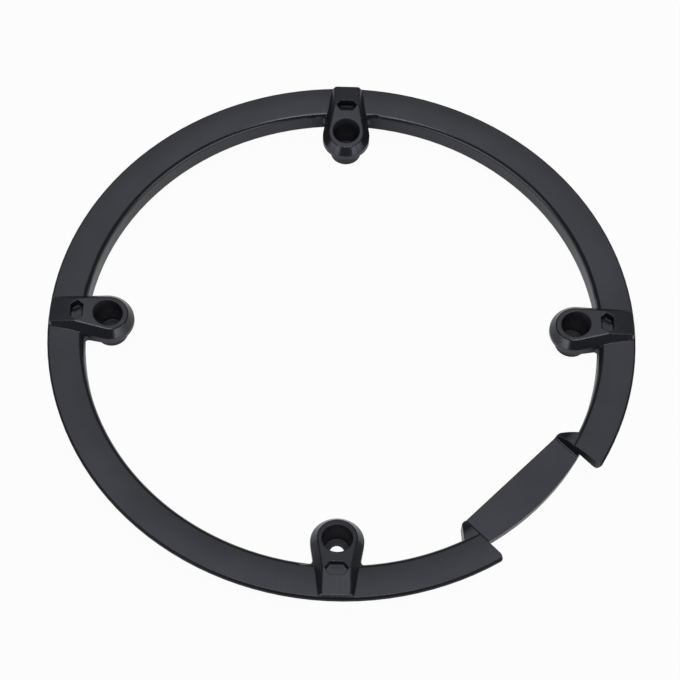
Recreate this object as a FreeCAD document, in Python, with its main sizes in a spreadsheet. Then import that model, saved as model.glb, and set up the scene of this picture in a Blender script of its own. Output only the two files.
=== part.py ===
import FreeCAD, Part
import math
import os

import Sketcher

# Driving dimensions: name, value in millimetres or degrees, meaning
SIZES = [
    ("outer_diameter", 188.0, "ring over the rim"),
    ("band_width", 11.15, "ring from its rim to its inner wall"),
    ("ring_height", 12.2, "rim top above the chainring face"),
    ("flange_thickness", 2.75, "flange at the rim"),
    ("rim_break", 0.5, "upper edge of the rim, broken by a chamfer"),
    ("rim_low_break", 0.8, "lower edge of the rim, broken by a chamfer"),
    ("crown_drop", 1.25, "flange top, from the rim down to the inner wall"),
    ("inner_edge_rounding", 1.7, "flange top into the inner wall"),
    ("wall_bottom", 4.6, "inner wall's lower edge above the chainring face"),
    ("wall_thickness", 3.3, "inner wall"),
    ("tab_count", 4, "screw tabs around the ring"),
    ("screw_inset", 7.75, "screws, inside the inner wall"),
    ("tab_end_inset", 0.6, "tab's outer end, inside the rim"),
    ("tab_end_width", 10.2, "tab at its outer end, below its bevel"),
    ("tab_end_rounding", 0.7, "upright corners of the tab's outer end"),
    ("boss_radius", 8.1, "tab's round nose, below its bevel"),
    ("tab_underside", 6.8, "tab's lower face above the chainring face"),
    ("tab_crest_rise", 2.0, "tab's highest line above the rim top"),
    ("tab_crest_inset", 9.0, "tab's highest line, inside the rim"),
    ("tab_nose_slope", 10.2, "tab's top, falling to the nose"),
    ("tab_end_slope", 2.5, "tab's top, falling to the rim"),
    ("bevel_width", 2.2, "bevel around the tab, across its top"),
    ("bevel_depth", 2.85, "bevel around the tab, down its side"),
    ("root_rounding", 1.4, "tab's side into the ring's inner wall"),
    ("root_overlap", 0.05, "depth of that rounding's ends in the tab and the wall"),
    ("edge_break", 0.2, "edges around the tab's top, broken by a small chamfer"),
    ("standoff_diameter", 10.5, "foot under each boss, where it stands on the chainring"),
    ("standoff_draft", 5.0, "lean of the foot's side"),
    ("screw_hole_diameter", 4.5, "screw clearance"),
    ("counterbore_diameter", 8.2, "screw head clearance at the seat"),
    ("counterbore_draft", 3.0, "lean of the counterbore's wall"),
    ("screw_seat", 1.2, "web under the screw head"),
    ("pocket_length", 7.25, "six-sided pocket, point to point"),
    ("pocket_width", 4.1, "six-sided pocket, flat to flat"),
    ("pocket_flat", 4.25, "six-sided pocket, length of its two flats"),
    ("pocket_depth", 4.4, "six-sided pocket, below the tab's crest"),
    ("pocket_wall", 1.5, "tab between the pocket and the back of its deep part"),
    ("notch_width", 40.4, "crank-arm notch at its floor"),
    ("notch_draft", 15.0, "lean of the notch's end walls"),
    ("plate_thickness", 3.1, "lowered plate in the notch"),
    ("plate_inset", 8.35, "plate's straight inner edge, inside the inner wall"),
    ("shoulder_width", 1.7, "block beside the notch, along the plate's inner edge"),
    ("shoulder_flare", 40.0, "lean of the block's side, in plan"),
    ("shoulder_rounding", 1.4, "upright corners of the shoulders"),
    ("shoulder_fall_radius", 8.0, "shoulders' tops, rounded down to the plate's inner edge"),
    ("shoulder_fall_run", 5.5, "length of that rounding, in from the plate's inner edge"),
    ("ear_rounding", 1.8, "upright corners of the flange at the notch"),
]

doc = FreeCAD.newDocument("chainring_guard")
sheet = doc.addObject("Spreadsheet::Sheet", "sizes")
for row, (name, value, meaning) in enumerate(SIZES, start=1):
    sheet.set(f"A{row}", name)
    sheet.set(f"B{row}", str(value))
    sheet.set(f"C{row}", meaning)
    sheet.setAlias(f"B{row}", name)
doc.recompute()

# Places that follow from the sizes
RIM = "(sizes.outer_diameter / 2)"
BORE = "(sizes.outer_diameter / 2 - sizes.band_width)"
SCREWS = f"({BORE} - sizes.screw_inset)"
TAB_END = f"({RIM} - sizes.tab_end_inset)"
CREST = f"({RIM} - sizes.tab_crest_inset)"
CREST_HEIGHT = "(sizes.ring_height + sizes.tab_crest_rise)"
TAB_STEP = f"({CREST} + sizes.pocket_width / 2 + sizes.pocket_wall)"
ROOT_TOP = "(sizes.ring_height - sizes.crown_drop - sizes.inner_edge_rounding)"
WALL_MIDDLE = f"({BORE} + sizes.wall_thickness / 2)"
FLANGE_UNDERSIDE = "(sizes.ring_height - sizes.flange_thickness)"
TAB_END_FOOT = f"({FLANGE_UNDERSIDE} + sizes.rim_low_break)"
PLATE_EDGE = f"({BORE} - sizes.plate_inset)"
PLATE_TOP = "(sizes.wall_bottom + sizes.plate_thickness)"
BLOCK_WIDTH = "(sizes.notch_width + 2 * sizes.shoulder_width)"
BLOCK_TOP = "(sizes.ring_height - sizes.crown_drop)"
NOTCH_ROOT = f"({FLANGE_UNDERSIDE} - {PLATE_TOP}) / 2"

body = doc.addObject("PartDesign::Body", "chainring_guard")
body.AllowCompound = True

HORIZONTAL_AXIS = -1
ORIGIN = (-1, 1)
START, END, CENTRE = 1, 2, 3


def amount(expression):
    """Value of an expression of the sheet's cells."""
    return float(sheet.evalExpression(expression.replace("sizes.", "")))


def new_sketch(name, role, height=None, turn=0.0):
    """Empty sketch on one of the body's base planes, raised by a height and turned about the ring's axis."""
    sketch = body.newObject("Sketcher::SketchObject", name)
    plane = next(feature for feature in body.Origin.OriginFeatures if feature.Role == role)
    sketch.AttachmentSupport = [(plane, "")]
    sketch.MapMode = "FlatFace"
    upright = FreeCAD.Vector(0, 0, 1)
    sketch.AttachmentOffset = FreeCAD.Placement(FreeCAD.Vector(), FreeCAD.Rotation(upright, turn))
    if height is not None:
        sketch.setExpression("AttachmentOffset.Base.z", height)
    return sketch


def line(sketch, start, end):
    return sketch.addGeometry(Part.LineSegment(FreeCAD.Vector(*start, 0), FreeCAD.Vector(*end, 0)))


def arc(sketch, centre, radius, first, last):
    """Arc drawn anticlockwise from a first to a last angle in degrees."""
    circle = Part.Circle(FreeCAD.Vector(*centre, 0), FreeCAD.Vector(0, 0, 1), radius)
    return sketch.addGeometry(Part.ArcOfCircle(circle, math.radians(first), math.radians(last)))


def circle(sketch, centre, radius, construction=False):
    round_edge = Part.Circle(FreeCAD.Vector(*centre, 0), FreeCAD.Vector(0, 0, 1), radius)
    return sketch.addGeometry(round_edge, construction)


def rule(sketch, kind, *where):
    return sketch.addConstraint(Sketcher.Constraint(kind, *where))


def drive(sketch, kind, where, expression):
    """Dimension bound to the sheet. Angles are in degrees."""
    value = amount(expression)
    if kind == "Angle":
        value = math.radians(value)
    index = sketch.addConstraint(Sketcher.Constraint(kind, *where, value))
    sketch.setExpression(f"Constraints[{index}]", expression)


def polygon(sketch, corners):
    """Closed outline of straight lines, each joined to the next. Gives the lines' numbers."""
    lines = [line(sketch, a, b) for a, b in zip(corners, corners[1:] + corners[:1])]
    for a, b in zip(lines, lines[1:] + lines[:1]):
        rule(sketch, "Coincident", a, END, b, START)
    return lines


def feature(kind, name, **properties):
    """New feature at the end of the body. A property given as text after an equals sign is an expression."""
    item = body.newObject(f"PartDesign::{kind}", name)
    for key, value in properties.items():
        if isinstance(value, str) and value.startswith("="):
            item.setExpression(key, value[1:])
        else:
            setattr(item, key, value)
    doc.recompute()
    return item


def edges_where(base, test):
    """A feature and the names of its edges that pass a test."""
    return base, [f"Edge{n}" for n, edge in enumerate(base.Shape.Edges, start=1) if test(edge)]


def rounded(name, base, radius, test):
    """Rounding of every edge of a feature that passes a test."""
    return feature("Fillet", name, Base=edges_where(base, test), Radius=f"={radius}")


# One screw tab, on the +X side. Its outline lies in a plane that falls to the nose, at the foot of the bevel
screw_radius = amount(SCREWS)
slope = math.radians(amount("sizes.tab_nose_slope"))
boss = amount("sizes.boss_radius")
crest_x = amount(CREST)
tab_end = amount(TAB_END)
boss_x = (screw_radius - crest_x) / math.cos(slope)
end_x = (tab_end - crest_x) / math.cos(slope)
end_y = amount("sizes.tab_end_width / 2")
flank_normal = math.atan2(end_y, end_x - boss_x) + math.acos(boss / math.hypot(end_x - boss_x, end_y))
cheek = (boss_x + boss * math.cos(flank_normal), boss * math.sin(flank_normal))
tab_outline = new_sketch("tab_outline", "XY_Plane")
tab_outline.AttachmentOffset = FreeCAD.Placement(
    FreeCAD.Vector(), FreeCAD.Rotation(FreeCAD.Vector(0, -1, 0), math.degrees(slope))
)
tab_outline.setExpression("AttachmentOffset.Rotation.Angle", "sizes.tab_nose_slope")
tab_outline.setExpression("AttachmentOffset.Base.x", CREST)
tab_outline.setExpression(
    "AttachmentOffset.Base.z", f"{CREST_HEIGHT} - sizes.bevel_depth / cos(sizes.tab_nose_slope)"
)
past_x = end_x + amount("2 * sizes.bevel_width")
past_y = end_y + (past_x - end_x) * math.tan(flank_normal - math.pi / 2)
end_line = line(tab_outline, (past_x, -past_y), (past_x, past_y))
left_flank = line(tab_outline, (past_x, past_y), cheek)
nose = arc(tab_outline, (boss_x, 0), boss, math.degrees(flank_normal), 360 - math.degrees(flank_normal))
right_flank = line(tab_outline, (cheek[0], -cheek[1]), (past_x, -past_y))
end_gauge = line(tab_outline, (end_x, -end_y), (end_x, end_y))
tab_outline.toggleConstruction(end_gauge)
rule(tab_outline, "Coincident", end_line, END, left_flank, START)
rule(tab_outline, "Tangent", left_flank, END, nose, START)
rule(tab_outline, "Tangent", nose, END, right_flank, START)
rule(tab_outline, "Coincident", right_flank, END, end_line, START)
rule(tab_outline, "Symmetric", end_line, START, end_line, END, HORIZONTAL_AXIS)
rule(tab_outline, "PointOnObject", nose, CENTRE, HORIZONTAL_AXIS)
rule(tab_outline, "PointOnObject", end_gauge, START, right_flank)
rule(tab_outline, "PointOnObject", end_gauge, END, left_flank)
rule(tab_outline, "Vertical", end_gauge)
drive(tab_outline, "Radius", (nose,), "sizes.boss_radius")
drive(
    tab_outline, "DistanceX", (nose, CENTRE, *ORIGIN),
    f"({CREST} - {SCREWS}) / cos(sizes.tab_nose_slope)",
)
drive(
    tab_outline, "DistanceX", (*ORIGIN, end_gauge, END),
    f"({TAB_END} - {CREST}) / cos(sizes.tab_nose_slope)",
)
drive(tab_outline, "DistanceY", (end_gauge, START, end_gauge, END), "sizes.tab_end_width")
drive(tab_outline, "DistanceX", (end_gauge, END, end_line, END), "2 * sizes.bevel_width")
feature(
    "Pad", "tab_bevel", Profile=tab_outline, Length="=sizes.bevel_depth",
    TaperAngle="=-atan(sizes.bevel_width / sizes.bevel_depth)",
)
feature(
    "Pad", "tab_walls", Profile=tab_outline, UseCustomVector=True, Direction=FreeCAD.Vector(0, 0, -1),
    AlongSketchNormal=False, Length=f"={CREST_HEIGHT}",
)

# Side view of the tab: what lies below it, past its outer end and above its outer slope is cut away
crest_z = amount(CREST_HEIGHT)
tab_end_z = crest_z - (tab_end - crest_x) * math.tan(math.radians(amount("sizes.tab_end_slope")))
under_z = amount("sizes.tab_underside")
end_foot_z = amount(TAB_END_FOOT)
step_x = amount(TAB_STEP)
trim_in = screw_radius - 2 * boss
trim_out = tab_end + 2 * boss
trim_top = 2 * crest_z
trim_low = -crest_z
tab_trim_outline = new_sketch("tab_trim_outline", "XZ_Plane")
trim_lines = polygon(
    tab_trim_outline,
    [
        (trim_in, under_z),
        (step_x, under_z),
        (step_x, end_foot_z),
        (tab_end, end_foot_z),
        (tab_end, tab_end_z),
        (crest_x, crest_z),
        (crest_x, trim_top),
        (trim_out, trim_top),
        (trim_out, trim_low),
        (trim_in, trim_low),
    ],
)
under_line, step_line, foot_line, end_face, end_slope = trim_lines[:5]
crest_wall, trim_roof, trim_end, trim_floor, trim_nose = trim_lines[5:]
for level_line in (under_line, foot_line, trim_roof, trim_floor):
    rule(tab_trim_outline, "Horizontal", level_line)
for upright_line in (step_line, end_face, crest_wall, trim_end, trim_nose):
    rule(tab_trim_outline, "Vertical", upright_line)
drive(tab_trim_outline, "DistanceY", (*ORIGIN, under_line, START), "sizes.tab_underside")
drive(tab_trim_outline, "DistanceX", (*ORIGIN, step_line, START), TAB_STEP)
drive(tab_trim_outline, "DistanceY", (*ORIGIN, foot_line, START), TAB_END_FOOT)
drive(tab_trim_outline, "DistanceX", (*ORIGIN, end_face, START), TAB_END)
drive(tab_trim_outline, "Angle", (end_slope,), "180 - sizes.tab_end_slope")
drive(tab_trim_outline, "DistanceX", (*ORIGIN, crest_wall, START), CREST)
drive(tab_trim_outline, "DistanceY", (*ORIGIN, crest_wall, START), CREST_HEIGHT)
drive(tab_trim_outline, "DistanceY", (*ORIGIN, trim_roof, START), f"2 * {CREST_HEIGHT}")
drive(tab_trim_outline, "DistanceX", (*ORIGIN, trim_end, START), f"{TAB_END} + 2 * sizes.boss_radius")
drive(tab_trim_outline, "DistanceY", (trim_floor, START, *ORIGIN), CREST_HEIGHT)
drive(tab_trim_outline, "DistanceX", (*ORIGIN, trim_nose, START), f"{SCREWS} - 2 * sizes.boss_radius")
feature("Pocket", "tab_trim", Profile=tab_trim_outline, Type="ThroughAll", SideType="Symmetric")

# Foot under the boss, which stands on the chainring
standoff_outline = new_sketch("standoff_outline", "XY_Plane")
foot = circle(standoff_outline, (screw_radius, 0), amount("sizes.standoff_diameter / 2"))
rule(standoff_outline, "PointOnObject", foot, CENTRE, HORIZONTAL_AXIS)
drive(standoff_outline, "DistanceX", (*ORIGIN, foot, CENTRE), SCREWS)
drive(standoff_outline, "Diameter", (foot,), "sizes.standoff_diameter")
standoff = feature(
    "Pad", "standoff", Profile=standoff_outline, Length="=sizes.tab_underside",
    TaperAngle="=sizes.standoff_draft",
)


def on_tab_end_corner(edge):
    """True for the edges that rise at the two sides of the tab's outer end."""
    box = edge.BoundBox
    return box.XLength < 1e-3 and abs(box.XMax - tab_end) < 1e-3 and box.ZLength > 1e-3


tab_corners = rounded("tab_corners", standoff, "sizes.tab_end_rounding", on_tab_end_corner)


def on_tab_top(edge):
    """True for an edge around the tab's top, but not for the crest across it."""
    for point in edge.discretize(5):
        if point.x < crest_x:
            rise = -math.tan(slope)
        else:
            rise = math.tan(math.radians(amount("sizes.tab_end_slope")))
        if abs(crest_z - rise * (point.x - crest_x) - point.z) > 1e-3:
            return False
    return edge.BoundBox.XLength > 1e-3 or abs(edge.BoundBox.XMax - crest_x) > 1e-3


feature(
    "Chamfer", "tab_edges", Base=edges_where(tab_corners, on_tab_top), Size="=sizes.edge_break",
)

# Screw hole with a deep seat for the screw's head
hole_outline = new_sketch("hole_outline", "XY_Plane")
hole = circle(hole_outline, (screw_radius, 0), amount("sizes.screw_hole_diameter / 2"))
rule(hole_outline, "PointOnObject", hole, CENTRE, HORIZONTAL_AXIS)
drive(hole_outline, "DistanceX", (*ORIGIN, hole, CENTRE), SCREWS)
drive(hole_outline, "Diameter", (hole,), "sizes.screw_hole_diameter")
feature("Pocket", "screw_hole", Profile=hole_outline, Type="ThroughAll", Reversed=True)

head_outline = new_sketch("head_outline", "XY_Plane", "sizes.screw_seat")
head = circle(head_outline, (screw_radius, 0), amount("sizes.counterbore_diameter / 2"))
rule(head_outline, "PointOnObject", head, CENTRE, HORIZONTAL_AXIS)
drive(head_outline, "DistanceX", (*ORIGIN, head, CENTRE), SCREWS)
drive(head_outline, "Diameter", (head,), "sizes.counterbore_diameter")
feature(
    "Pocket", "counterbore", Profile=head_outline, Reversed=True, Length=f"={CREST_HEIGHT}",
    TaperAngle="=sizes.counterbore_draft",
)

# Concave roundings where the tab's sides meet the ring's inner wall
bore = amount(BORE)
sink = amount("sizes.root_overlap")
root = amount("sizes.root_rounding")
flank_lean = math.atan2(boss - end_y, tab_end - screw_radius)
side_start = (screw_radius, boss - sink)
side_end = (tab_end, end_y - sink)
root_y = boss + root - (bore - screw_radius) * math.tan(flank_lean)
root_x = math.sqrt((bore - root) ** 2 - root_y ** 2)
wall_angle = math.degrees(math.atan2(root_y, root_x))
flank_angle = -90 - math.degrees(flank_lean)
root_back = amount(WALL_MIDDLE)
tab_root_outline = new_sketch("tab_root_outline", "XY_Plane", "sizes.tab_underside")
boss_gauge = circle(tab_root_outline, (screw_radius, 0), boss - sink, construction=True)
bore_gauge = circle(tab_root_outline, (0, 0), bore + sink, construction=True)
side_gauge = line(tab_root_outline, side_start, side_end)
tab_root_outline.toggleConstruction(side_gauge)
left_root = arc(tab_root_outline, (root_x, root_y), root, flank_angle, wall_angle)
right_root = arc(tab_root_outline, (root_x, -root_y), root, -wall_angle, -flank_angle)
wall_y = root_y + root * math.sin(math.radians(wall_angle))
wall_x = root_x + root * math.cos(math.radians(wall_angle))
flank_y = root_y + root * math.sin(math.radians(flank_angle))
flank_x = root_x + root * math.cos(math.radians(flank_angle))
root_front = line(tab_root_outline, (flank_x, flank_y), (flank_x, -flank_y))
right_wing = line(tab_root_outline, (wall_x, -wall_y), (root_back, -wall_y))
root_rear = line(tab_root_outline, (root_back, -wall_y), (root_back, wall_y))
left_wing = line(tab_root_outline, (root_back, wall_y), (wall_x, wall_y))
for first, second in (
    ((left_root, START), (root_front, START)),
    ((root_front, END), (right_root, END)),
    ((right_root, START), (right_wing, START)),
    ((right_wing, END), (root_rear, START)),
    ((root_rear, END), (left_wing, START)),
    ((left_wing, END), (left_root, END)),
    ((bore_gauge, CENTRE), ORIGIN),
):
    rule(tab_root_outline, "Coincident", *first, *second)
rule(tab_root_outline, "PointOnObject", boss_gauge, CENTRE, HORIZONTAL_AXIS)
rule(tab_root_outline, "Tangent", side_gauge, START, boss_gauge)
rule(tab_root_outline, "Tangent", left_root, START, side_gauge)
rule(tab_root_outline, "Tangent", left_root, END, bore_gauge)
rule(tab_root_outline, "Symmetric", left_root, CENTRE, right_root, CENTRE, HORIZONTAL_AXIS)
rule(tab_root_outline, "Symmetric", root_front, START, root_front, END, HORIZONTAL_AXIS)
rule(tab_root_outline, "Symmetric", root_rear, START, root_rear, END, HORIZONTAL_AXIS)
rule(tab_root_outline, "Horizontal", left_wing)
rule(tab_root_outline, "Horizontal", right_wing)
drive(tab_root_outline, "Radius", (boss_gauge,), "sizes.boss_radius - sizes.root_overlap")
drive(tab_root_outline, "DistanceX", (*ORIGIN, boss_gauge, CENTRE), SCREWS)
drive(tab_root_outline, "Radius", (bore_gauge,), f"{BORE} + sizes.root_overlap")
drive(tab_root_outline, "DistanceX", (*ORIGIN, side_gauge, END), TAB_END)
drive(
    tab_root_outline, "DistanceY", (*ORIGIN, side_gauge, END),
    "sizes.tab_end_width / 2 - sizes.root_overlap",
)
drive(tab_root_outline, "Radius", (left_root,), "sizes.root_rounding")
drive(tab_root_outline, "DistanceX", (*ORIGIN, root_rear, START), WALL_MIDDLE)
feature("Pad", "tab_root", Profile=tab_root_outline, Length=f"={ROOT_TOP} - sizes.tab_underside")

# The tab all round the ring
ring_axis = next(item for item in body.Origin.OriginFeatures if item.Role == "Z_Axis")
tabs = feature(
    "PolarPattern", "tabs", TransformMode="Whole shape", Axis=(ring_axis, [""]), Angle=360.0,
    Occurrences="=sizes.tab_count",
)
body.Tip = tabs
doc.recompute()

# Crank-arm notch, half way between two tabs: first a block that will reach inwards from the ring
NOTCH_TURN = -180.0 / amount("sizes.tab_count")
reach = amount(PLATE_EDGE)
block_half = amount(BLOCK_WIDTH) / 2
flare = math.tan(math.radians(amount("sizes.shoulder_flare")))
block_radius = amount(WALL_MIDDLE)
# the block's side line meets the arc that ends it inside the ring's wall
half_b = reach + flare * block_half
side_c = reach ** 2 + block_half ** 2 - block_radius ** 2
side_run = (math.sqrt(half_b ** 2 - (1 + flare ** 2) * side_c) - half_b) / (1 + flare ** 2)
block_side = (reach + side_run, block_half + flare * side_run)
block_angle = math.degrees(math.atan2(block_side[1], block_side[0]))
block_outline = new_sketch("block_outline", "XY_Plane", "sizes.wall_bottom", NOTCH_TURN)
chord = line(block_outline, (reach, block_half), (reach, -block_half))
right_side = line(block_outline, (reach, -block_half), (block_side[0], -block_side[1]))
block_back = arc(block_outline, (0, 0), block_radius, -block_angle, block_angle)
left_side = line(block_outline, block_side, (reach, block_half))
rule(block_outline, "Coincident", chord, END, right_side, START)
rule(block_outline, "Coincident", right_side, END, block_back, START)
rule(block_outline, "Coincident", block_back, END, left_side, START)
rule(block_outline, "Coincident", left_side, END, chord, START)
rule(block_outline, "Coincident", block_back, CENTRE, *ORIGIN)
rule(block_outline, "Symmetric", chord, START, chord, END, HORIZONTAL_AXIS)
rule(block_outline, "Symmetric", block_back, START, block_back, END, HORIZONTAL_AXIS)
drive(block_outline, "DistanceX", (*ORIGIN, chord, START), PLATE_EDGE)
drive(block_outline, "DistanceY", (chord, END, chord, START), BLOCK_WIDTH)
drive(block_outline, "Angle", (right_side,), "-sizes.shoulder_flare")
drive(block_outline, "Radius", (block_back,), WALL_MIDDLE)
block = feature(
    "Pad", "block", Profile=block_outline,
    Length=f"={BLOCK_TOP} - sizes.wall_bottom",
)


def on_shoulder_corner(edge):
    """True for the upright edges at the ends of the block's straight front."""
    box = edge.BoundBox
    across = math.hypot(box.XLength, box.YLength)
    reach_out = math.hypot(box.Center.x, box.Center.y)
    return across < 1e-3 and abs(reach_out - math.hypot(reach, block_half)) < 1e-3


rounded("shoulders", block, "sizes.shoulder_rounding", on_shoulder_corner)

# The shoulders' tops fall in an arc to the plate's inner edge
fall = amount("sizes.shoulder_fall_radius")
fall_x = reach + amount("sizes.shoulder_fall_run")
block_top = amount(BLOCK_TOP)
front_x = reach - amount("sizes.shoulder_rounding")
front_angle = math.degrees(math.acos((front_x - fall_x) / fall))
front_z = block_top - fall + fall * math.sin(math.radians(front_angle))
roof_z = block_top + fall
fall_outline = new_sketch("fall_outline", "XZ_Plane")
fall_outline.AttachmentOffset = FreeCAD.Placement(
    FreeCAD.Vector(), FreeCAD.Rotation(FreeCAD.Vector(0, 1, 0), NOTCH_TURN)
)
fall_arc = arc(fall_outline, (fall_x, block_top - fall), fall, 90, front_angle)
fall_front = line(fall_outline, (front_x, front_z), (front_x, roof_z))
fall_roof = line(fall_outline, (front_x, roof_z), (fall_x, roof_z))
fall_back = line(fall_outline, (fall_x, roof_z), (fall_x, block_top))
for first, second in (
    ((fall_arc, END), (fall_front, START)),
    ((fall_front, END), (fall_roof, START)),
    ((fall_roof, END), (fall_back, START)),
    ((fall_back, END), (fall_arc, START)),
):
    rule(fall_outline, "Coincident", *first, *second)
rule(fall_outline, "Vertical", fall_front)
rule(fall_outline, "Horizontal", fall_roof)
rule(fall_outline, "Vertical", fall_back)
rule(fall_outline, "Vertical", fall_arc, CENTRE, fall_arc, START)
drive(fall_outline, "Radius", (fall_arc,), "sizes.shoulder_fall_radius")
drive(fall_outline, "DistanceX", (*ORIGIN, fall_arc, START), f"{PLATE_EDGE} + sizes.shoulder_fall_run")
drive(fall_outline, "DistanceY", (*ORIGIN, fall_arc, START), BLOCK_TOP)
drive(fall_outline, "DistanceX", (*ORIGIN, fall_front, START), f"{PLATE_EDGE} - sizes.shoulder_rounding")
drive(fall_outline, "DistanceY", (fall_back, END, fall_back, START), "sizes.shoulder_fall_radius")
feature("Pocket", "shoulder_fall", Profile=fall_outline, Type="ThroughAll", SideType="Symmetric")

# Ring: a crowned flange with an inner wall, turned about the axis
rim = amount(RIM)
top = amount("sizes.ring_height")
rim_break = amount("sizes.rim_break")
low_break = amount("sizes.rim_low_break")
inner_round = amount("sizes.inner_edge_rounding")
wall_low = amount("sizes.wall_bottom")
wall_out = bore + amount("sizes.wall_thickness")
flange_low = amount(FLANGE_UNDERSIDE)
CROWN_RUN = f"({RIM} - sizes.rim_break - {BORE})"
CROWN_RADIUS = f"({CROWN_RUN}^2 + sizes.crown_drop^2) / (2 * sizes.crown_drop)"
crown = amount(CROWN_RADIUS)
crown_centre = (rim - rim_break, top - crown)
inner_run = rim - rim_break - bore - inner_round
inner_rise = math.sqrt((crown - inner_round) ** 2 - inner_run ** 2)
inner_centre = (bore + inner_round, top - crown + inner_rise)
crown_end = math.degrees(math.atan2(inner_rise, -inner_run))
ring_profile = new_sketch("ring_profile", "XZ_Plane")
rim_low = line(ring_profile, (rim - low_break, flange_low), (rim, flange_low + low_break))
rim_face = line(ring_profile, (rim, flange_low + low_break), (rim, top - rim_break))
rim_top = line(ring_profile, (rim, top - rim_break), (rim - rim_break, top))
crown_top = arc(ring_profile, crown_centre, crown, 90, crown_end)
inner_top = arc(ring_profile, inner_centre, inner_round, crown_end, 180)
inner_face = line(ring_profile, (bore, inner_centre[1]), (bore, wall_low))
wall_foot = line(ring_profile, (bore, wall_low), (wall_out, wall_low))
wall_back = line(ring_profile, (wall_out, wall_low), (wall_out, flange_low))
flange_under = line(ring_profile, (wall_out, flange_low), (rim - low_break, flange_low))
for first, second in (
    ((crown_top, END), (inner_top, START)),
    ((inner_top, END), (inner_face, START)),
):
    rule(ring_profile, "Tangent", *first, *second)
for first, second in (
    (rim_low, rim_face),
    (rim_face, rim_top),
    (rim_top, crown_top),
    (inner_face, wall_foot),
    (wall_foot, wall_back),
    (wall_back, flange_under),
    (flange_under, rim_low),
):
    rule(ring_profile, "Coincident", first, END, second, START)
for upright_line in (rim_face, inner_face, wall_back):
    rule(ring_profile, "Vertical", upright_line)
for level_line in (wall_foot, flange_under):
    rule(ring_profile, "Horizontal", level_line)
rule(ring_profile, "Vertical", crown_top, CENTRE, crown_top, START)
drive(ring_profile, "DistanceX", (*ORIGIN, rim_face, END), RIM)
drive(ring_profile, "DistanceX", (*ORIGIN, inner_face, END), BORE)
drive(ring_profile, "DistanceY", (*ORIGIN, rim_top, END), "sizes.ring_height")
drive(ring_profile, "DistanceY", (flange_under, END, rim_top, END), "sizes.flange_thickness")
drive(ring_profile, "DistanceY", (*ORIGIN, inner_face, END), "sizes.wall_bottom")
drive(ring_profile, "DistanceX", (wall_foot, START, wall_foot, END), "sizes.wall_thickness")
drive(ring_profile, "DistanceX", (rim_low, START, rim_low, END), "sizes.rim_low_break")
drive(ring_profile, "DistanceY", (rim_low, START, rim_low, END), "sizes.rim_low_break")
drive(ring_profile, "DistanceX", (rim_top, END, rim_top, START), "sizes.rim_break")
drive(ring_profile, "DistanceY", (rim_top, START, rim_top, END), "sizes.rim_break")
drive(ring_profile, "Radius", (crown_top,), CROWN_RADIUS)
drive(ring_profile, "Radius", (inner_top,), "sizes.inner_edge_rounding")
feature(
    "Revolution", "ring", Profile=ring_profile, ReferenceAxis=(ring_profile, ["V_Axis"]), Angle=360.0,
)

# The notch itself, cut down to the plate with leaning end walls
notch_half = amount("sizes.notch_width / 2")
notch_in = reach - block_half
notch_out = rim + block_half
notch_outline = new_sketch("notch_outline", "XY_Plane", PLATE_TOP, NOTCH_TURN)
low_side, out_side, high_side, in_side = polygon(
    notch_outline,
    [(notch_in, -notch_half), (notch_out, -notch_half), (notch_out, notch_half), (notch_in, notch_half)],
)
rule(notch_outline, "Horizontal", low_side)
rule(notch_outline, "Horizontal", high_side)
rule(notch_outline, "Symmetric", out_side, START, out_side, END, HORIZONTAL_AXIS)
rule(notch_outline, "Vertical", in_side)
drive(notch_outline, "DistanceY", (out_side, START, out_side, END), "sizes.notch_width")
drive(notch_outline, "DistanceX", (*ORIGIN, low_side, START), f"{PLATE_EDGE} - {BLOCK_WIDTH} / 2")
drive(notch_outline, "DistanceX", (*ORIGIN, low_side, END), f"{RIM} + {BLOCK_WIDTH} / 2")
feature(
    "Pocket", "notch", Profile=notch_outline, Reversed=True, Length="=sizes.ring_height",
    TaperAngle="=sizes.notch_draft",
)

# Rounded upright corners of the flange beside the notch, one cut along the leaning wall and then mirrored
plate_top = amount(PLATE_TOP)
ear = amount("sizes.ear_rounding")
wall_lean = math.tan(math.radians(amount("sizes.notch_draft")))
ear_p = notch_half + (flange_low - plate_top) * wall_lean
ear_y = ear_p + ear
ear_x = math.sqrt((rim - ear) ** 2 - ear_y ** 2)
ear_angle = math.degrees(math.atan2(ear_y, ear_x))
ear_rim = (rim * math.cos(math.radians(ear_angle)), rim * math.sin(math.radians(ear_angle)))
ear_out = rim + ear
ear_outline = new_sketch("ear_outline", "XY_Plane", FLANGE_UNDERSIDE, NOTCH_TURN)
rim_gauge = circle(ear_outline, (0, 0), rim, construction=True)
ear_arc = arc(ear_outline, (ear_x, ear_y), ear, -90, ear_angle)
ear_top = line(ear_outline, ear_rim, (ear_out, ear_rim[1]))
ear_rear = line(ear_outline, (ear_out, ear_rim[1]), (ear_out, ear_p - ear))
ear_low = line(ear_outline, (ear_out, ear_p - ear), (ear_x, ear_p - ear))
ear_front = line(ear_outline, (ear_x, ear_p - ear), (ear_x, ear_p))
for first, second in (
    ((ear_arc, END), (ear_top, START)),
    ((ear_top, END), (ear_rear, START)),
    ((ear_rear, END), (ear_low, START)),
    ((ear_low, END), (ear_front, START)),
    ((ear_front, END), (ear_arc, START)),
    ((rim_gauge, CENTRE), ORIGIN),
):
    rule(ear_outline, "Coincident", *first, *second)
rule(ear_outline, "Vertical", ear_arc, CENTRE, ear_arc, START)
rule(ear_outline, "Tangent", ear_arc, END, rim_gauge)
rule(ear_outline, "Horizontal", ear_top)
rule(ear_outline, "Vertical", ear_rear)
rule(ear_outline, "Horizontal", ear_low)
rule(ear_outline, "Vertical", ear_front)
drive(ear_outline, "Radius", (rim_gauge,), RIM)
drive(ear_outline, "Radius", (ear_arc,), "sizes.ear_rounding")
drive(ear_outline, "DistanceX", (*ORIGIN, ear_rear, START), f"{RIM} + sizes.ear_rounding")
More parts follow.
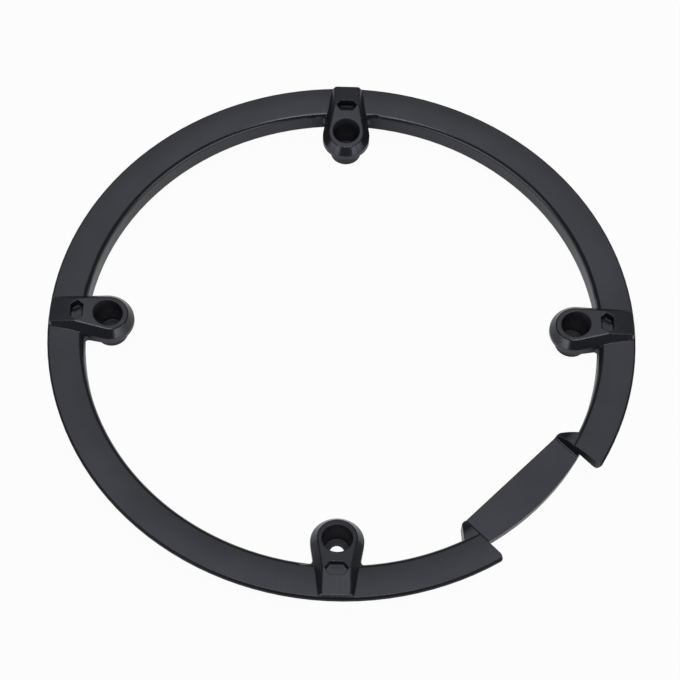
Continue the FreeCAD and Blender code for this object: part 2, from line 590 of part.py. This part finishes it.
drive(ear_outline, "DistanceY", (ear_front, START, ear_front, END), "sizes.ear_rounding")
drive(
    ear_outline, "DistanceY", (*ORIGIN, ear_front, END),
    f"sizes.notch_width / 2 + tan(sizes.notch_draft) * ({FLANGE_UNDERSIDE} - {PLATE_TOP})",
)
notch_across = FreeCAD.Rotation(FreeCAD.Vector(0, 0, 1), NOTCH_TURN).multVec(FreeCAD.Vector(0, 1, 0))
ear_cut = feature(
    "Pocket", "ear_cut", Profile=ear_outline, UseCustomVector=True, AlongSketchNormal=False,
    Direction=notch_across * wall_lean + FreeCAD.Vector(0, 0, 1), Length="=sizes.ring_height",
)
ears = feature("Mirrored", "ears", Originals=[ear_cut], MirrorPlane=(ear_outline, ["H_Axis"]))
body.Tip = ears
doc.recompute()


def on_notch_root(edge):
    """True for the straight edges where the notch's end walls stand on the plate."""
    box = edge.BoundBox
    if box.ZLength > 1e-3 or abs(box.ZMax - plate_top) > 1e-3:
        return False
    straight = edge.Curve.TypeId == "Part::GeomLine"
    along = abs(edge.tangentAt(edge.FirstParameter).dot(notch_axis)) > 0.999
    return straight and along


notch_axis = FreeCAD.Vector(math.cos(math.radians(NOTCH_TURN)), math.sin(math.radians(NOTCH_TURN)), 0)
rounded("notch_root", ears, NOTCH_ROOT, on_notch_root)

# Six-sided pocket behind each screw
pocket_x = amount("sizes.pocket_width / 2")
pocket_y = amount("sizes.pocket_flat / 2")
pocket_point = amount("sizes.pocket_length / 2")
pocket_outline = new_sketch("pocket_outline", "XY_Plane", f"{CREST_HEIGHT} - sizes.pocket_depth")
outer_flat, outer_left, inner_left, inner_flat, inner_right, outer_right = polygon(
    pocket_outline,
    [
        (crest_x + pocket_x, -pocket_y), (crest_x + pocket_x, pocket_y), (crest_x, pocket_point),
        (crest_x - pocket_x, pocket_y), (crest_x - pocket_x, -pocket_y), (crest_x, -pocket_point),
    ],
)
rule(pocket_outline, "Symmetric", outer_flat, START, outer_flat, END, HORIZONTAL_AXIS)
rule(pocket_outline, "Symmetric", inner_flat, START, inner_flat, END, HORIZONTAL_AXIS)
rule(pocket_outline, "Symmetric", inner_left, START, outer_right, START, HORIZONTAL_AXIS)
drive(pocket_outline, "DistanceX", (*ORIGIN, inner_left, START), CREST)
drive(pocket_outline, "DistanceX", (inner_left, START, outer_flat, END), "sizes.pocket_width / 2")
drive(pocket_outline, "DistanceX", (inner_flat, START, inner_left, START), "sizes.pocket_width / 2")
drive(pocket_outline, "DistanceY", (outer_flat, START, outer_flat, END), "sizes.pocket_flat")
drive(pocket_outline, "DistanceY", (inner_flat, END, inner_flat, START), "sizes.pocket_flat")
drive(pocket_outline, "DistanceY", (outer_right, START, inner_left, START), "sizes.pocket_length")
pocket = feature("Pocket", "pocket", Profile=pocket_outline, Type="ThroughAll", Reversed=True)

pockets = feature(
    "PolarPattern", "pockets", Originals=[pocket], Axis=(ring_axis, [""]), Angle=360.0,
    Occurrences="=sizes.tab_count",
)
body.Tip = pockets
doc.recompute()

# Every object is checked before anything is written
faults = [item.Name for item in doc.Objects if "Invalid" in item.State or "Error" in item.State]
if faults:
    raise RuntimeError(f"objects with faults: {faults}")
if body.Shape.isNull() or not body.Shape.isValid() or len(body.Shape.Solids) != 1:
    raise RuntimeError("the guard is not one valid solid")
print("volume", round(body.Shape.Volume, 1), "faces", len(body.Shape.Faces))
os.makedirs("parts", exist_ok=True)
body.Shape.exportStep("parts/chainring_guard.step")
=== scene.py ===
# %% [markdown]
# # A moulded chainring guard
# This guard is one piece of black plastic, moulded in a single shot. It covers a bicycle chainring's teeth.
# Its shape comes from the CAD model, which is loaded here as a fixed frame. The lesson is about giving one
# dark, satin, moulded piece a believable surface, and a light that shows its edges.

# %% Load the frame
import math

import bpy
from mathutils import Matrix, Vector


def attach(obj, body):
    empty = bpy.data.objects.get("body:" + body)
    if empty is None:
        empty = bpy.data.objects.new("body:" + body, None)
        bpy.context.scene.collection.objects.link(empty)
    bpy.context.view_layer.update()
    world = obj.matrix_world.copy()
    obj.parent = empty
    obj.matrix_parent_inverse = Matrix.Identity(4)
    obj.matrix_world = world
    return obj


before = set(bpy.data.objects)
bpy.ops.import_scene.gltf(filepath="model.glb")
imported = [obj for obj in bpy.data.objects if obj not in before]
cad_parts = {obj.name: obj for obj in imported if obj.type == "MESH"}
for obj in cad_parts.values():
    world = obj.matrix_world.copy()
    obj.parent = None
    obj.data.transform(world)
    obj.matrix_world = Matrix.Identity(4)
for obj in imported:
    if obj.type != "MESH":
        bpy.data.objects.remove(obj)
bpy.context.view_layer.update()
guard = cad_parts["chainring_guard"]

# %% [markdown]
# ## Camera
# The photograph looks down on the guard from the front, at about sixty degrees above the floor, with
# a short telephoto lens. A camera could be turned by a matrix of nine numbers. A position, a point that it
# looks at and a small roll say the same and are easier to read.

# %% Camera
EYE = Vector((-0.00200, -0.23707, 0.41907))
AIM = Vector((-0.00050, -0.00207, 0.0019))
ROLL = math.radians(1.714)
LENS = 77.72
SENSOR = 36.0
CLIP_NEAR = 0.01
CLIP_FAR = 20.0

bpy.ops.object.select_all(action="DESELECT")
bpy.ops.object.camera_add(location=EYE)
camera = bpy.context.object
camera.name = "camera"
camera.data.lens = LENS
camera.data.sensor_width = SENSOR
camera.data.clip_start = CLIP_NEAR
camera.data.clip_end = CLIP_FAR
camera.rotation_mode = "QUATERNION"
level = (AIM - EYE).to_track_quat("-Z", "Y").to_matrix()
camera.rotation_quaternion = (level @ Matrix.Rotation(ROLL, 3, "Z")).to_quaternion()
bpy.context.scene.camera = camera
print("camera is", round((AIM - EYE).length, 3), "m from its aim")


# %% [markdown]
# ## Shader nodes
# A node material is a small graph. Its nodes could be made with several lines each. One short helper that
# makes a node, sets its plain sockets and links the others keeps a material readable from top to bottom.
# Two more give the output of the nodes that are used most: a sum on two values, and a change from one span
# of values to another.

# %% Node helpers
def add_node(tree, kind, name, settings=None, **inputs):
    """New node. A socket, named with underscores or as i and its number, takes a value or an output."""
    node = tree.nodes.new(kind)
    node.name = node.label = name
    for key, value in (settings or {}).items():
        setattr(node, key, value)
    for key, value in inputs.items():
        by_number = key[0] == "i" and key[1:].isdigit()
        socket = node.inputs[int(key[1:])] if by_number else node.inputs[key.replace("_", " ")]
        if isinstance(value, bpy.types.NodeSocket):
            tree.links.new(value, socket)
        else:
            socket.default_value = value
    return node


def calculate(tree, name, operation, first, second):
    """Output of a Math node on two values."""
    node = add_node(tree, "ShaderNodeMath", name, {"operation": operation}, i0=first, i1=second)
    return node.outputs["Value"]


def remap(tree, name, value, span, result):
    """Output of a Map Range node, which takes the two ends of a span to the two ends of a result."""
    node = add_node(tree, "ShaderNodeMapRange", name, Value=value, From_Min=span[0], From_Max=span[1],
                    To_Min=result[0], To_Max=result[1])
    return node.outputs["Result"]


def new_material(name):
    """Material with an empty node tree."""
    material = bpy.data.materials.new(name)
    material.use_nodes = True
    material.node_tree.nodes.clear()
    return material


print("helpers:", add_node.__name__, calculate.__name__, remap.__name__, new_material.__name__)

# %% [markdown]
# ## Floor
# Catalogue pictures stand on a white sweep of paper. It could be a curved backdrop, but from this height
# only the floor shows, so one large plane is enough. It lies a hair below the guard's feet, because two
# faces in one plane can show through each other.

# %% Floor
FLOOR_SIZE = 30.0
FLOOR_DROP = 0.0002

bpy.ops.object.select_all(action="DESELECT")
bpy.ops.mesh.primitive_plane_add(size=FLOOR_SIZE, location=(0.0, 0.0, -FLOOR_DROP))
floor = bpy.context.object
floor.name = "floor"
print("floor", FLOOR_SIZE, "m wide")

# %% [markdown]
# ## White paper
# The paper could be made white with strong lamps, but they would wash out the guard. Here the Light Path
# node tells the rays apart: the camera sees the paper glow white, and so do mirrored rays, less where
# the guard stands close over it. The rest of the shade comes from the lamps, which keeps a faint shadow.
# From below the paper is clear, so that the guard's lower side can be looked at.

# %% White paper
FLOOR_GLOW = 0.96
MIRRORED_GLOW = 0.85
CONTACT_REACH = 0.025
CONTACT_SAMPLES = 8
CONTACT_POWER = 2.0
PAPER = (0.55, 0.56, 0.58, 1.0)
WHITE = (1.0, 1.0, 1.0, 1.0)

paper = new_material("white_paper")
tree = paper.node_tree
ray = add_node(tree, "ShaderNodeLightPath", "ray").outputs
mirrored = calculate(tree, "mirror or glass", "MAXIMUM", ray["Is Glossy Ray"], ray["Is Transmission Ray"])
open_sky = add_node(tree, "ShaderNodeAmbientOcclusion", "open sky", {"samples": CONTACT_SAMPLES},
                    Distance=CONTACT_REACH).outputs["AO"]
contact = calculate(tree, "contact shade", "POWER", open_sky, CONTACT_POWER)
softer = calculate(tree, "mirrored share", "MULTIPLY", mirrored, MIRRORED_GLOW)
softer = calculate(tree, "shaded share", "MULTIPLY", softer, contact)
direct = calculate(tree, "camera share", "MULTIPLY", ray["Is Camera Ray"], FLOOR_GLOW)
share = calculate(tree, "share of glow", "ADD", direct, softer)
matt_paper = add_node(tree, "ShaderNodeBsdfDiffuse", "paper", Color=PAPER)
glow = add_node(tree, "ShaderNodeEmission", "white", Color=WHITE, Strength=1.0)
upper = add_node(tree, "ShaderNodeMixShader", "paper and white", Fac=share,
                 i1=matt_paper.outputs["BSDF"], i2=glow.outputs["Emission"])
side = add_node(tree, "ShaderNodeNewGeometry", "side")
clear = add_node(tree, "ShaderNodeBsdfTransparent", "clear from below", Color=WHITE)
both = add_node(tree, "ShaderNodeMixShader", "seen from above", Fac=side.outputs["Backfacing"],
                i1=upper.outputs["Shader"], i2=clear.outputs["BSDF"])
add_node(tree, "ShaderNodeOutputMaterial", "output", Surface=both.outputs["Shader"])
floor.data.materials.append(paper)
print("paper on", floor.name, "with", len(tree.nodes), "nodes")

# %% [markdown]
# ## Sky
# A studio's walls and ceiling send back a little light from everywhere. An even, slightly cold world does
# the same. It is kept low, because it lights every face alike and would flatten the guard's form.

# %% Sky
SKY_COLOUR = (0.93, 0.95, 1.0, 1.0)
SKY_STRENGTH = 0.16

world = bpy.data.worlds.new("studio")
bpy.context.scene.world = world
world.use_nodes = True
background = world.node_tree.nodes["Background"]
background.inputs["Color"].default_value = SKY_COLOUR
background.inputs["Strength"].default_value = SKY_STRENGTH
print("sky strength", SKY_STRENGTH)

# %% [markdown]
# ## Back box
# Black plastic is seen by what it mirrors. A box behind the guard gives the level faces their grey. One even
# lamp would show as a flat tone. This box is made of layers that all end at the same height and start one
# above the other, so it grows brighter upwards, and a crowned face shows that as a soft change of tone.
# A lamp is given by its radiance, because that is what a mirror shows, whatever the lamp's size.

# %% Back box
BEHIND = 90.0
BACK_TOP = 86.0
BACK_WIDTH = 0.80
BACK_DISTANCE = 1.3
BACK_STEP = 0.02
BACK_LAYERS = ((42.0, 0.55), (50.0, 0.30), (57.0, 0.25), (66.0, 0.20), (75.0, 0.30))


def soft_box(name, azimuth, elevation, distance, size, radiance):
    """Lamp that looks at the guard from an azimuth and elevation in degrees, with an even radiance."""
    turn = math.radians(azimuth)
    rise = math.radians(elevation)
    place = Vector((math.cos(turn) * math.cos(rise), math.sin(turn) * math.cos(rise), math.sin(rise)))
    bpy.ops.object.light_add(type="AREA", location=place * distance)
    lamp = bpy.context.object
    lamp.name = name
    lamp.data.shape = "RECTANGLE"
    lamp.data.size = size[0]
    lamp.data.size_y = size[1]
    lamp.data.energy = radiance * math.pi * size[0] * size[1]
    lamp.rotation_mode = "QUATERNION"
    lamp.rotation_quaternion = (-place).to_track_quat("-Z", "Y")
    print(name, "at", azimuth, "degrees round and", elevation, "up")


for number, (low, radiance) in enumerate(BACK_LAYERS):
    distance = BACK_DISTANCE + BACK_STEP * number
    height = 2.0 * distance * math.tan(math.radians(BACK_TOP - low) / 2.0)
    soft_box(f"back_box_{number}", BEHIND, (BACK_TOP + low) / 2.0, distance, (BACK_WIDTH, height), radiance)

# %% [markdown]
# ## Top and front boxes
# A box overhead draws thin light lines on the edges. Two low boxes in front, left and right of the camera,
# show as lighter sectors on the cones round the tabs' noses. One box across the whole front would light
# the faces that look at the camera too, and the gap between the two keeps them dark.

# %% Top and front boxes
FRONT = -90.0
NEAR_DISTANCE = 1.2
TOP_RISE = 75.0
TOP_SIZE = (0.7, 0.45)
TOP_RADIANCE = 5.6
SIDE_TURN = 54.0
SIDE_RISE = 9.0
SIDE_SIZE = (1.2, 0.38)
SIDE_RADIANCE = 3.4

soft_box("top_box", FRONT, TOP_RISE, NEAR_DISTANCE, TOP_SIZE, TOP_RADIANCE)
soft_box("right_box", FRONT + SIDE_TURN, SIDE_RISE, NEAR_DISTANCE, SIDE_SIZE, SIDE_RADIANCE)
soft_box("left_box", FRONT - SIDE_TURN, SIDE_RISE, NEAR_DISTANCE, SIDE_SIZE, SIDE_RADIANCE)

# %% [markdown]
# ## Clouds and grain
# The guard is satin black plastic from a spark-eroded mould. Up close such a surface has a fine grain, and
# cloudy patches where the melt cooled at different speeds. Both could be painted on an unwrapped map. One
# noise for each in Object coordinates needs no map and keeps its size in metres. The clouds change the
# colour, the roughness and the sheen a little.

# %% Clouds and grain
CLOUD_SIZE = 0.018
CLOUD_DETAIL = 4.0
CLOUD_SPAN = (0.3, 0.7)
CLOUD_SHADE = (0.86, 1.14)
CLOUD_ROUGHNESS = (0.18, 0.24)
CLOUD_SHEEN = (0.54, 0.46)
GRAIN_SIZE = 0.00032
GRAIN_DETAIL = 2.0

plastic = new_material("black_moulded_plastic")
tree = plastic.node_tree
place = add_node(tree, "ShaderNodeTexCoord", "place").outputs["Object"]
cloud = add_node(tree, "ShaderNodeTexNoise", "cooling clouds", Vector=place,
                 Scale=1 / CLOUD_SIZE, Detail=CLOUD_DETAIL).outputs["Fac"]
grain = add_node(tree, "ShaderNodeTexNoise", "mould grain", Vector=place,
                 Scale=1 / GRAIN_SIZE, Detail=GRAIN_DETAIL).outputs["Fac"]
shade = remap(tree, "cloud shade", cloud, CLOUD_SPAN, CLOUD_SHADE)
satin = remap(tree, "satin", cloud, CLOUD_SPAN, CLOUD_ROUGHNESS)
mottle = remap(tree, "cloudy sheen", cloud, CLOUD_SPAN, CLOUD_SHEEN)
print("clouds of", CLOUD_SIZE * 1000, "mm and grain of", GRAIN_SIZE * 1000, "mm")

# %% [markdown]
# ## Soft edges
# A moulded edge is never sharp: the cutter leaves a small radius, and hands and trouser legs rub it. Edges
# could be rounded in the mesh, with many more faces. The Bevel node only bends the normal near an edge,
# which is enough for a thin light line. Where the bent normal leaves the face's own normal, the dot
# product of the two falls, and that makes a mask for the wear.

# %% Soft edges
EDGE_RADIUS = 0.00038
EDGE_SAMPLES = 6
EDGE_SPAN = (0.995, 0.93)

soft_edge = add_node(tree, "ShaderNodeBevel", "soft edges", {"samples": EDGE_SAMPLES},
                     Radius=EDGE_RADIUS).outputs["Normal"]
facing = add_node(tree, "ShaderNodeNewGeometry", "true face").outputs["Normal"]
likeness = add_node(tree, "ShaderNodeVectorMath", "bent by the edge", {"operation": "DOT_PRODUCT"},
                    i0=soft_edge, i1=facing).outputs["Value"]
edge = remap(tree, "edge mask", likeness, EDGE_SPAN, (0.0, 1.0))
print("edges softened over", EDGE_RADIUS * 1000, "mm")

# %% [markdown]
# ## Screw seats
# The pins that form the screw seats in the mould leave a duller skin. A second material on chosen faces
# could show that, but a mask by place needs no list of faces. The four tabs lie on the axes, so the
# absolute values of x and y fold them onto one another: the larger one runs along a tab and the smaller
# one across it. One distance from the screw's axis then serves all four seats.

# %% Screw seats
SCREW_RADIUS = 0.0751
BORE_RADIUS = 0.00485
BLUR = 0.0001

folded = add_node(tree, "ShaderNodeVectorMath", "quarter turn folded", {"operation": "ABSOLUTE"}, i0=place)
axes = add_node(tree, "ShaderNodeSeparateXYZ", "axes", Vector=folded.outputs["Vector"]).outputs
along = calculate(tree, "along the tab", "MAXIMUM", axes["X"], axes["Y"])
along = calculate(tree, "from the screw", "SUBTRACT", along, SCREW_RADIUS)
across = calculate(tree, "across the tab", "MINIMUM", axes["X"], axes["Y"])
from_screw = add_node(tree, "ShaderNodeCombineXYZ", "from the screw's axis", X=along, Y=across)
from_screw = add_node(tree, "ShaderNodeVectorMath", "distance", {"operation": "LENGTH"},
                      i0=from_screw.outputs["Vector"]).outputs["Value"]
# Besides the rougher skin, this mask lightens the seats' colour. That is painted light, which lifts the shade
# inside the bores.
bore = remap(tree, "bore mask", from_screw, (BORE_RADIUS + BLUR, BORE_RADIUS - BLUR), (0.0, 1.0))
print("screw seats matt out to", round(BORE_RADIUS * 1000, 2), "mm")

# %% [markdown]
# ## Rim
# The mould's halves meet round the rim, and the narrow edge there is dull too. Its mask is the distance
# from the ring's axis, which is the length of x and y together, so no height comes into it.

# %% Rim
RIM_EDGE = 0.09345

from_axis = add_node(tree, "ShaderNodeCombineXYZ", "flattened", X=axes["X"], Y=axes["Y"])
from_axis = add_node(tree, "ShaderNodeVectorMath", "ring radius", {"operation": "LENGTH"},
                     i0=from_axis.outputs["Vector"]).outputs["Value"]
rim = remap(tree, "rim mask", from_axis, (RIM_EDGE - BLUR, RIM_EDGE + BLUR), (0.0, 1.0))
print("rim matt from", RIM_EDGE * 1000, "mm outwards")

# %% [markdown]
# ## Plastic
# Now the masks meet in one shader. Layers of several shaders could be mixed, but one is easier to follow and
# to bake. The colour is almost black, and lighter where it is rubbed. It is lighter in the seats as well,
# which is painted light that lifts the shade inside the bores. The seats and the rim are rougher than the
# rest, and the rim has less sheen. The grain goes in as a faint bump on top of the softened edges. A bluish
# tint on the reflection gives this plastic its cold grey.

# %% Plastic
BLACK = (0.0085, 0.0088, 0.0102, 1.0)
# Worn edges and the screw seats take this lighter colour. In the seats it is painted light against the shade
# in the bores.
WORN_AND_PAINTED_LIGHT = (0.0210, 0.0210, 0.0240, 1.0)
COLD = (0.86, 0.87, 1.0, 1.0)
MATT_ROUGHNESS = 0.45
RIM_SHEEN = 0.08
GRAIN_STRENGTH = 0.08
GRAIN_DEPTH = 0.00004

# Lighter colour at worn edges, and painted light in the screw seats, but none on the rim.
wear_and_painted_light = calculate(tree, "edge or bore", "MAXIMUM", edge, bore)
wear_and_painted_light = calculate(tree, "not on the rim", "SUBTRACT", wear_and_painted_light, rim)
wear_and_painted_light.node.use_clamp = True
tint = add_node(tree, "ShaderNodeMix", "black to worn and painted light", {"data_type": "RGBA"}, i0=wear_and_painted_light, i6=BLACK, i7=WORN_AND_PAINTED_LIGHT)
colour = add_node(tree, "ShaderNodeVectorMath", "shaded black", {"operation": "SCALE"},
                  i0=tint.outputs[2], Scale=shade)
matt = calculate(tree, "bore or rim", "MAXIMUM", bore, rim)
gloss = add_node(tree, "ShaderNodeMix", "satin or matt", {"data_type": "FLOAT"}, i0=matt, i2=satin,
                 i3=MATT_ROUGHNESS)
sheen = remap(tree, "sheen", rim, (0.0, 1.0), (mottle, RIM_SHEEN))
bump = add_node(tree, "ShaderNodeBump", "grain relief", Strength=GRAIN_STRENGTH, Distance=GRAIN_DEPTH,
                Height=grain, Normal=soft_edge)
skin = add_node(tree, "ShaderNodeBsdfPrincipled", "plastic", Base_Color=colour.outputs["Vector"],
                Roughness=gloss.outputs[0], Specular_IOR_Level=sheen, Specular_Tint=COLD,
                Normal=bump.outputs["Normal"])
add_node(tree, "ShaderNodeOutputMaterial", "output", Surface=skin.outputs["BSDF"])
guard.data.materials.clear()
guard.data.materials.append(plastic)
print("plastic on", guard.name, "with", len(guard.data.polygons), "faces and", len(tree.nodes), "nodes")

# %% [markdown]
# ## One pocket floor
# Behind each screw the tab has a six-sided pocket, which saves material and keeps the wall even. Its floor
# lies only a few millimetres down. Its outline could be typed in point by point. Here it starts as a
# six-cornered disc, and edit mode stretches it to the pocket's outline, the two points and the four other
# corners by their own amounts, so that each size keeps its name.

# %% One pocket floor
CORNERS = 6
HALF_WIDTH = 0.00213
HALF_FLAT = 0.00216
HALF_LENGTH = 0.00370
ON_AXIS = 1e-6
CENTRE = (0.0, 0.0, 0.0)

bpy.ops.object.select_all(action="DESELECT")
bpy.ops.mesh.primitive_circle_add(vertices=CORNERS, radius=HALF_WIDTH / math.cos(math.pi / CORNERS),
                                  fill_type="NGON", location=CENTRE)
pocket_floors = bpy.context.object
pocket_floors.name = "pocket_floors"
bpy.ops.object.mode_set(mode="EDIT")
for points, reach in ((True, HALF_LENGTH), (False, HALF_FLAT)):
    bpy.ops.mesh.select_all(action="DESELECT")
    bpy.ops.object.mode_set(mode="OBJECT")
    for vertex in pocket_floors.data.vertices:
        vertex.select = (abs(vertex.co.x) < ON_AXIS) == points
    now = max(abs(vertex.co.y) for vertex in pocket_floors.data.vertices if vertex.select)
    bpy.ops.object.mode_set(mode="EDIT")
    bpy.ops.transform.resize(value=(1.0, reach / now, 1.0), center_override=CENTRE)
print("one pocket floor:", HALF_WIDTH * 2000, "mm wide and", HALF_LENGTH * 2000, "mm long")

# %% [markdown]
# ## Four pocket floors
# The flat outline moves to its tab, gets its thickness by extruding and a dished face by an inset. The other
# three could be modelled again, but a spin in steps about the ring's axis copies them exactly. Each floor
# reaches a little into the walls, so that no gap shows, and it has the guard's own plastic.

# %% Four pocket floors
TABS = 4
POCKET_RADIUS = 0.0850
POCKET_LOW = 0.0097
POCKET_FLOOR = 0.0112
DISH_WIDTH = 0.0009
DISH_DEPTH = 0.0001
LAST_TURN = math.radians(360.0 - 360.0 / TABS)

bpy.ops.mesh.select_all(action="SELECT")
bpy.ops.transform.translate(value=(POCKET_RADIUS, 0.0, POCKET_LOW))
bpy.ops.mesh.extrude_region_move(TRANSFORM_OT_translate={"value": (0.0, 0.0, POCKET_FLOOR - POCKET_LOW)})
bpy.ops.mesh.inset(thickness=DISH_WIDTH, depth=-DISH_DEPTH)
bpy.ops.mesh.select_all(action="SELECT")
bpy.ops.mesh.spin(steps=TABS - 1, dupli=True, angle=LAST_TURN, center=CENTRE, axis=(0.0, 0.0, 1.0))
bpy.ops.mesh.select_all(action="SELECT")
bpy.ops.mesh.normals_make_consistent(inside=False)
bpy.ops.object.mode_set(mode="OBJECT")
pocket_floors.data.materials.append(plastic)
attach(pocket_floors, "root")
print("pocket floors:", len(pocket_floors.data.vertices), "points on", TABS, "floors")

# %% [markdown]
# ## View
# The view transform is the plain one, so that a colour shows about as it is written.

# %% View
bpy.context.scene.view_settings.view_transform = "Standard"
